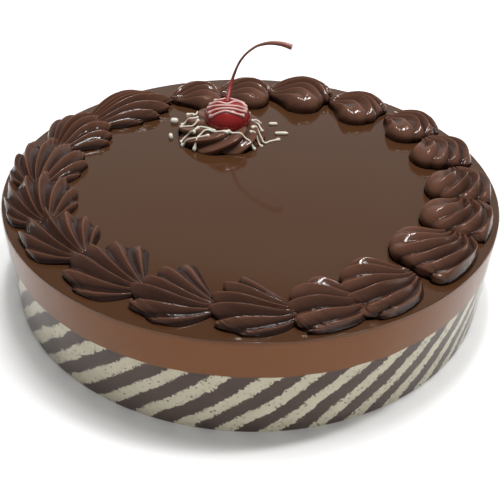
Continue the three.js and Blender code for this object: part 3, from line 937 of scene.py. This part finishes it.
def turned(name, profile, material):
    """Turns a profile of (radius, height) points in millimetres round the cake's axis."""
    mesh = bmesh.new()
    points = [mesh.verts.new((out * MM, 0, up * MM)) for out, up in profile]
    edges = [mesh.edges.new(pair) for pair in zip(points, points[1:])]
    bmesh.ops.spin(
        mesh, geom=points + edges, axis=(0, 0, 1), cent=(0, 0, 0), angle=2 * math.pi,
        steps=TURNED_SIDES, use_duplicate=False,
    )
    bmesh.ops.remove_doubles(mesh, verts=mesh.verts, dist=TURNED_WELD)
    bmesh.ops.recalc_face_normals(mesh, faces=mesh.faces)
    for face in mesh.faces:
        face.smooth = True
    data = bpy.data.meshes.new(name)
    mesh.to_mesh(data)
    mesh.free()
    data.materials.append(material)
    data.set_sharp_from_angle(angle=TURNED_SHARP_ANGLE)
    return add_to_scene(name, data)


print("turned pieces have", TURNED_SIDES, "sides")

# %% Glaze finish and shape
GLAZE_RADIUS = CAKE_RADIUS - 0.05
GLAZE_EDGE = 0.12
GLAZE_FLAT_FROM = 0.4
EDGE_STEPS = 8
GLAZE_COLOURS = ((0.053, 0.0222, 0.0091, 1), (0.0605, 0.0256, 0.011, 1))
GLAZE_SIDE_COLOUR = (0.17, 0.068, 0.028, 1)
GLAZE_SIDE_FROM = GLAZE_TOP - 0.1
GLAZE_SIDE_FULL = GLAZE_TOP - 0.25
GLAZE_ROUGHNESS = (0.1, 0.6)
GLAZE_BUMP = 0.06


def glaze_finish():
    material, tree, shader = finish("mirror_glaze", 0.1, Specular_IOR_Level=0.28)
    place = object_place(tree)
    colour = blended(tree, *GLAZE_COLOURS, noise(tree, place, scale=14, detail=3, seed=21))
    _, _, z = parts_of(tree, place)
    side = 1 - (z / MM).between(GLAZE_SIDE_FULL, GLAZE_SIDE_FROM)
    tree.links.new(blended(tree, colour, GLAZE_SIDE_COLOUR, side), shader.inputs["Base Color"])
    feed(tree, shader.inputs["Roughness"], mix(*GLAZE_ROUGHNESS, side))
    bump(tree, shader, noise(tree, place, scale=25, detail=2, seed=22), GLAZE_BUMP)
    return material


def glaze_profile():
    profile = [(0, MOUSSE_TOP), (GLAZE_RADIUS, MOUSSE_TOP)]
    for step in range(EDGE_STEPS + 1):
        turn = math.pi / 2 * step / EDGE_STEPS
        out = GLAZE_RADIUS - GLAZE_EDGE * (1 - math.cos(turn))
        profile.append((out, GLAZE_TOP - GLAZE_EDGE * (1 - math.sin(turn))))
    return profile + [(profile[-1][0] - GLAZE_FLAT_FROM, GLAZE_TOP), (0, GLAZE_TOP)]


GLAZE = glaze_finish()
glaze = turned("mirror_glaze", glaze_profile(), GLAZE)
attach(glaze, "root")
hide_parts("glaze")
print("glaze:", len(glaze.data.polygons), "faces")

# %% [markdown]
# ### The collar
#
# The collar is acetate film, far thinner than a real solid can be in this model. Clear film is mostly
# nothing: it lets the cake show, and adds a reflection that grows where the film is seen edge on. The
# Layer Weight node measures that. So the finish mixes Transparent and Glossy, which renders quickly.

# %% Collar finish and shape
COLLAR_GAP = 0.3
COLLAR_INNER = CAKE_RADIUS + COLLAR_GAP
COLLAR_WALL = 0.25
FILM_GLOSS = 0.4
FILM_FALLOFF = 4.5
FILM_ROUGHNESS = 0.12


def film_finish():
    material = bpy.data.materials.new("clear_film")
    material.use_nodes = True
    tree = material.node_tree
    tree.nodes.remove(tree.nodes["Principled BSDF"])
    clear = add_node(tree, "ShaderNodeBsdfTransparent")
    gloss = add_node(tree, "ShaderNodeBsdfGlossy", Roughness=FILM_ROUGHNESS)
    edge_on = Value(tree, add_node(tree, "ShaderNodeLayerWeight", Blend=0.5).outputs["Facing"])
    both = add_node(tree, "ShaderNodeMixShader")
    feed(tree, both.inputs[0], FILM_GLOSS * edge_on ** FILM_FALLOFF)
    tree.links.new(clear.outputs[0], both.inputs[1])
    tree.links.new(gloss.outputs[0], both.inputs[2])
    tree.links.new(both.outputs[0], tree.nodes["Material Output"].inputs["Surface"])
    return material


FILM = film_finish()
collar = turned("acetate_film", [
    (COLLAR_INNER, COLLAR_BOTTOM),
    (COLLAR_INNER + COLLAR_WALL, COLLAR_BOTTOM),
    (COLLAR_INNER + COLLAR_WALL, COLLAR_TOP),
    (COLLAR_INNER, COLLAR_TOP),
    (COLLAR_INNER, COLLAR_BOTTOM),
], FILM)
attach(collar, "root")
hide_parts("acetate_collar")
print("collar:", len(collar.data.polygons), "faces")

# %% [markdown]
# ### The rosette
#
# The rosette is one turn of the star nozzle with the cherry pressed into its middle. Its ribs climb the
# steep wall like the strands of a rope. The recipe bends a grid into a dome and twists the ribs as they
# climb, with a little waver, so that it isn't quite round. The ribs fade towards the middle, which the
# cherry hides.

# %% Rosette recipe
ROSETTE_CENTRE = (-16.5, 40)
ROSETTE_SIZES = {
    "Radius": 23.5, "Height": 10, "Ribs": 8, "Rib Depth": 0.11, "Sweep": 110, "Base": 48, "Seed": 5,
}
ROSETTE_COLUMNS = 264
ROSETTE_ROWS = 48
ROSETTE_BLUNTNESS = 0.6
ROSETTE_CROWN = 0.8
ROSETTE_WAVER = 0.12
ROSETTE_RIB_WAVER = 0.03
ROSETTE_LEAST_DEPTH = 0.02
ROSETTE_FADE_FROM = 0.6
ROSETTE_GROOVE_SHADE = 0.7


def rosette_recipe():
    tree, _, size = recipe("piped_rosette", ROSETTE_SIZES)
    grid, around, along = sheet_of(tree, ROSETTE_COLUMNS, ROSETTE_ROWS)
    angle = around * (2 * math.pi)
    ring = vector(tree, angle.cos(), angle.sin(), along)
    waver = noise(tree, ring, scale=1.6, detail=1, seed=size["Seed"]) - 0.5
    turn = around - along * size["Sweep"] / 360 + ROSETTE_RIB_WAVER * waver
    groove = groove_depth(turn, size["Ribs"], sharpness=2, softness=0.6)
    depth = size["Rib Depth"] * (1 - along.between(ROSETTE_FADE_FROM, 1)) + ROSETTE_LEAST_DEPTH
    relief = 1 - depth * groove
    lean = along * (math.pi / 2)
    dome = lean.cos().at_least(0) ** ROSETTE_BLUNTNESS
    out = size["Radius"] * dome * relief * (1 + ROSETTE_WAVER * waver)
    up = size["Height"] * lean.sin() ** ROSETTE_CROWN * relief
    x = ROSETTE_CENTRE[0] + out * angle.cos()
    y = ROSETTE_CENTRE[1] + out * angle.sin()
    # The grooves get painted shade, a little lighter than on the shells.
    grid = keep_share(tree, grid, "groove", groove * ROSETTE_GROOVE_SHADE)
    serve(tree, domed(tree, grid, x, y, size["Base"], up), ICING)
    return tree


rosette = grow("piped_rosette", rosette_recipe(), Base=GLAZE_TOP)
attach(rosette, "root")
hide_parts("rosette")
print("rosette:", len(rosette.data.polygons), "faces")

# %% [markdown]
# ### The cherry and its stem
#
# A cocktail cherry is a slightly flattened ball with a dimple where the stem goes in. Its skin is
# smooth and syrupy, and light enters it a little, which subsurface scattering imitates. The stem is a
# tube along a curve, thick at its foot, thin in the middle and blunt at the cut end.

# %% Cherry finish and shape
CHERRY_CENTRE = (-13.5, 39.5, 10.3)
CHERRY_RADIUS = 11.9
CHERRY_HALF_HEIGHT = 9
CHERRY_WOBBLE = 0.012
CHERRY_SIDES = 96
CHERRY_RINGS = 64
DIMPLE_DEPTH = 1.2
DIMPLE_WIDTH = 2.4
CHERRY_COLOURS = ((0.19, 0.006, 0.007, 1), (0.28, 0.012, 0.012, 1))
CHERRY_GLOW = (1.0, 0.12, 0.08)
CHERRY_BUMP = 0.15


def cherry_finish():
    material, tree, shader = finish(
        "syrupy_cherry", 0.22, Specular_IOR_Level=0.5, Subsurface_Weight=0.2, Subsurface_Scale=0.002,
        Coat_Weight=0.1, Coat_Roughness=0.08,
    )
    shader.inputs["Subsurface Radius"].default_value = CHERRY_GLOW
    place = object_place(tree)
    cloud = noise(tree, place, scale=110, detail=3, seed=31)
    tree.links.new(blended(tree, *CHERRY_COLOURS, cloud), shader.inputs["Base Color"])
    bump(tree, shader, noise(tree, place, scale=160, detail=2, seed=32), CHERRY_BUMP)
    return material


def round_cherry(material):
    mesh = bmesh.new()
    bmesh.ops.create_uvsphere(mesh, u_segments=CHERRY_SIDES, v_segments=CHERRY_RINGS, radius=1)
    for vert in mesh.verts:
        x, y, z = vert.co
        out = CHERRY_RADIUS * math.hypot(x, y)
        up = CHERRY_HALF_HEIGHT * z
        if z > 0:
            up -= DIMPLE_DEPTH * math.exp(-((out / DIMPLE_WIDTH) ** 2))
        wobble = 1 + CHERRY_WOBBLE * math.sin(3 * math.atan2(y, x) + 1)
        vert.co = (x * CHERRY_RADIUS * wobble, y * CHERRY_RADIUS * wobble, up)
        vert.co = (vert.co + Vector(CHERRY_CENTRE) + Vector((0, 0, GLAZE_TOP))) * MM
    for face in mesh.faces:
        face.smooth = True
    data = bpy.data.meshes.new("cherry")
    mesh.to_mesh(data)
    mesh.free()
    data.materials.append(material)
    return add_to_scene("glossy_cherry", data)


CHERRY = cherry_finish()
cherry = round_cherry(CHERRY)
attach(cherry, "root")
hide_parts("cherry")
print("cherry:", len(cherry.data.polygons), "faces")

# %% [markdown]
# A curve in Blender is only a line. Geometry Nodes give it body: they put points on it at even steps,
# and sweep a circle down it whose radius changes on the way. One helper does that for the stem here,
# and further down for the white strands.

# %% Stem
STEM_LINE = [
    (-13.6, 40.6, 18.4), (-11.6, 48.6, 25.6), (-9.1, 50.1, 32.8), (-6.7, 49.9, 37.6),
    (-2.4, 49.8, 42.4), (2.8, 48.6, 45.9), (12.5, 43.9, 48.4), (18.1, 42, 47.5),
]
STEM_SIZES = {"Foot": 1.2, "Middle": 0.62, "Tip": 1.4, "Taper": 0.36}
STEM_SIDES = 16
STEM_STEP = 0.6
STEM_RED = (0.27, 0.028, 0.026, 1)
STEM_TAN = (0.25, 0.12, 0.085, 1)
STEM_CUT = (0.28, 0.1, 0.08, 1)
STEM_TAN_HEIGHTS = (22, 40)
STEM_CUT_REACH = (2, 16)
STEM_BUMP = 0.1


def drawn_line(name, lines, lift=0):
    """A curve with one smooth spline through each list of points, given in millimetres."""
    curve = bpy.data.curves.new(name, "CURVE")
    curve.dimensions = "3D"
    curve.resolution_u = 12
    for line in lines:
        spline = curve.splines.new("BEZIER")
        spline.bezier_points.add(len(line) - 1)
        for knot, point in zip(spline.bezier_points, line):
            knot.co = (point[0] * MM, point[1] * MM, ((point[2] if len(point) > 2 else 0) + lift) * MM)
            knot.handle_left_type = "AUTO"
            knot.handle_right_type = "AUTO"
    return curve


def resampled(tree, line, spacing):
    """The line with a point at every step of so many millimetres."""
    kind = {"mode": "LENGTH"}
    return add_node(tree, "GeometryNodeResampleCurve", kind, Curve=line, Length=spacing * MM).outputs[0]


def swept(tree, line, radius, sides, spacing):
    """Sweeps a circle of changing radius along a line, both in millimetres."""
    fine = resampled(tree, line, spacing)
    circle = add_node(tree, "GeometryNodeCurvePrimitiveCircle", Resolution=sides, Radius=MM)
    return add_node(
        tree, "GeometryNodeCurveToMesh", Curve=fine, Profile_Curve=circle.outputs[0], Scale=radius,
        Fill_Caps=True,
    ).outputs[0]


def along_line(tree):
    return Value(tree, tree.nodes.new("GeometryNodeSplineParameter").outputs["Factor"])


def stem_recipe(material):
    tree, start, size = recipe("cherry_stem", STEM_SIZES)
    along = along_line(tree)
    from_foot = (along / size["Taper"]).at_most(1)
    to_tip = (1 - (1 - along) / size["Taper"]).at_least(0)
    radius = mix(mix(size["Foot"], size["Middle"], from_foot), size["Tip"], to_tip)
    serve(tree, swept(tree, start.outputs[0], radius, STEM_SIDES, STEM_STEP), material)
    return tree


def stem_finish():
    material, tree, shader = finish("cherry_stem", 0.4, Specular_IOR_Level=0.5)
    place = object_place(tree)
    x, _, z = parts_of(tree, place)
    height = (z / MM - GLAZE_TOP).between(*STEM_TAN_HEIGHTS)
    tip = (x / MM).between(*STEM_CUT_REACH)
    colour = blended(tree, blended(tree, STEM_RED, STEM_TAN, height), STEM_CUT, tip)
    tree.links.new(colour, shader.inputs["Base Color"])
    bump(tree, shader, noise(tree, place, scale=700, detail=2, seed=41), STEM_BUMP)
    return material


STEM = stem_finish()
stem_line = drawn_line("stem_line", [STEM_LINE], GLAZE_TOP)
stem = grow("curved_stem", stem_recipe(STEM), base=stem_line, sharp_angle=60)
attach(stem, "root")
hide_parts("cherry_stem")
print("stem:", len(stem.data.polygons), "faces")

# %% [markdown]
# ### White chocolate strands
#
# Thin strands of white chocolate were flicked over the cherry and the rosette, and a few drops fell on
# the glaze. Those on the cherry took on its red syrup. Each strand is drawn as seen from above. The
# recipe then shoots a ray straight down from every point, takes the height of the first surface that
# the ray meets, and smooths the heights, so that the strand bridges the grooves as a soft one does.

# %% Strands as seen from above, in millimetres
STRANDS_ON_CHERRY = [
    [(-20.6, 43.6), (-17, 42.4), (-13.4, 44), (-9.6, 43.4), (-6.6, 44), (-4.4, 42.8)],
    [(-23, 41), (-18.6, 39.6), (-13.6, 37.6), (-9.2, 40.6), (-6, 41.8), (-3, 40.8)],
    [(-23.8, 38.6), (-21.4, 37.4), (-16.8, 35.6), (-11.6, 35.4), (-6.4, 37), (-2.7, 38.6)],
    [(-23.2, 34.4), (-18.4, 33.6), (-14, 33.4), (-9.8, 33.8), (-6.3, 34.6), (-3.2, 36.6)],
    [(-22.4, 32.6), (-20.4, 31.6), (-17.5, 31.5), (-14, 31.9), (-10.4, 31.6), (-7.1, 32.2), (-4.2, 33.6)],
]
STRANDS_ON_ROSETTE = [
    [(-37.6, 36), (-32.8, 34.4), (-30.5, 34.3), (-27.8, 36.8)],
    [(-36.6, 26.4), (-32.6, 25.6), (-27.6, 23.9), (-21.4, 23.4)],
    [(-29.6, 20.4), (-28.4, 22.4), (-26.8, 25.4), (-23.4, 27.4), (-18.2, 26.4), (-12, 25.4)],
    [(-30, 27.2), (-27.4, 30.8), (-24, 29), (-18.6, 27)],
    [(-13, 26.6), (-8, 26.4), (-4, 25.6), (-0.6, 24.4), (1.9, 23.9)],
    [(-0.8, 33.4), (2, 35.4), (4, 33.8), (6.4, 31.6), (9, 33.6), (14.6, 36.2)],
    [(-0.4, 39), (1.6, 42), (4, 39), (5.2, 36.4)],
    [(-0.6, 43.4), (1.6, 44.6), (4.4, 42.2)],
    [(-2.6, 50.4), (0.6, 51.6), (2.6, 49.4)],
    [(-1.6, 30.4), (1.2, 31.2), (3.6, 29.4), (5.2, 27.4)],
    [(-28.4, 41.6), (-31.6, 40.4), (-34.6, 41), (-37.6, 39.6)],
    [(-27.2, 30.2), (-29.8, 28.2), (-33.4, 29.4), (-37, 27.6)],
    [(-35.6, 48.4), (-32, 50.4), (-31.2, 47.4), (-29.2, 54), (-27.6, 56.4)],
]
DASHES_ON_GLAZE = [
    [(8.6, 53.4), (13.4, 53.6)],
    [(11.6, 42.4), (19, 42.8)],
]
DROPS_ON_GLAZE = [
    [(-40.4, 52.3), (-44.6, 53)],
    [(-41.4, 34.9), (-43.6, 34.2)],
]
print("strands:", len(STRANDS_ON_CHERRY), "on the cherry and", len(STRANDS_ON_ROSETTE), "on the rosette")

# %% White chocolate finishes
WHITE_COLOURS = ((0.6, 0.56, 0.46, 1), (0.72, 0.68, 0.58, 1))
PINK_COLOURS = ((0.54, 0.3, 0.27, 1), (0.68, 0.46, 0.42, 1))
STRAND_BUMP = 0.08


def white_finish(name, colours):
    material, tree, shader = finish(
        name, 0.4, Specular_IOR_Level=0.5, Subsurface_Weight=0.2, Subsurface_Scale=0.001
    )
    place = object_place(tree)
    cloud = noise(tree, place, scale=300, detail=3, seed=51)
    tree.links.new(blended(tree, *colours, cloud), shader.inputs["Base Color"])
    bump(tree, shader, noise(tree, place, scale=700, detail=2, seed=52), STRAND_BUMP)
    return material


WHITE = white_finish("white_chocolate", WHITE_COLOURS)
PINK = white_finish("tinted_chocolate", PINK_COLOURS)
print("finishes:", WHITE.name, "and", PINK.name)

# %% Strand recipe
STRAND_RADIUS = 0.46
STRAND_SIDES = 12
STRAND_STEP = 0.3
STRAND_ROOF = 90
STRAND_EASING = 14
STRAND_SINK = 0.6
BLOB_POWER = 5
END_ROOM = 1.02


def height_below(tree, surface):
    """The height of the surface straight below each point, in millimetres, and at least the glaze's."""
    below = add_node(tree, "GeometryNodeObjectInfo", Object=surface)
    ray = tree.nodes.new("GeometryNodeRaycast")
    feed(tree, ray.inputs["Target Geometry"], below.outputs["Geometry"])
    feed(tree, ray.inputs["Ray Direction"], (0, 0, -1))
    feed(tree, ray.inputs["Ray Length"], STRAND_ROOF * MM)
    _, _, hit = parts_of(tree, ray.outputs["Hit Position"])
    return hit.at_least(GLAZE_TOP * MM) / MM


def strand_recipe(name, surface, material):
    tree, start, size = recipe(name, {"Radius": STRAND_RADIUS, "Swell": 1.3, "End Power": 14})
    fine = resampled(tree, start.outputs[0], STRAND_STEP)
    x, y, _ = parts_of(tree, tree.nodes.new("GeometryNodeInputPosition").outputs[0])
    floor = height_below(tree, surface)
    eased = add_node(tree, "GeometryNodeBlurAttribute", {"data_type": "FLOAT"}, Value=floor)
    eased.inputs["Iterations"].default_value = STRAND_EASING
    height = Value(tree, eased.outputs[0]) + size["Radius"] * STRAND_SINK
    laid = moved(tree, fine, x / MM, y / MM, height)
    blob = (along_line(tree) * (2 * math.pi)).cos()
    to_end = (2 * along_line(tree) - 1).size() ** size["End Power"]
    swell = 1 + size["Swell"] * blob.at_least(0) ** BLOB_POWER
    radius = size["Radius"] * swell * (END_ROOM - to_end).root()
    serve(tree, swept(tree, laid, radius, STRAND_SIDES, STRAND_STEP), material)
    return tree


print("a strand is", 2 * STRAND_RADIUS, "mm thick")

# %% Lay the strands, the dashes and the drops
CHERRY_STRAND_RADIUS = 0.56
DASH_RADIUS = 0.95
DROP_RADIUS = 1.75
ROUND_ENDS = {"Swell": 0.1, "End Power": 4.0}


def lay_strands(name, lines, surface, slot, material, **sizes):
    tree = strand_recipe(name, surface, material)
    strands = grow(name, tree, base=drawn_line(name, lines, STRAND_ROOF), sharp_angle=70, **sizes)
    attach(strands, "root")
    print(name + ":", len(strands.data.polygons), "faces")


lay_strands("strands_on_cherry", STRANDS_ON_CHERRY, cherry, "cherry", PINK, Radius=CHERRY_STRAND_RADIUS)
lay_strands("strands_on_rosette", STRANDS_ON_ROSETTE, rosette, "icing", WHITE, Swell=1.9)
lay_strands("dashes_on_glaze", DASHES_ON_GLAZE, glaze, "glaze", WHITE, Radius=DASH_RADIUS, **ROUND_ENDS)
lay_strands("drops_on_glaze", DROPS_ON_GLAZE, glaze, "glaze", WHITE, Radius=DROP_RADIUS, **ROUND_ENDS)
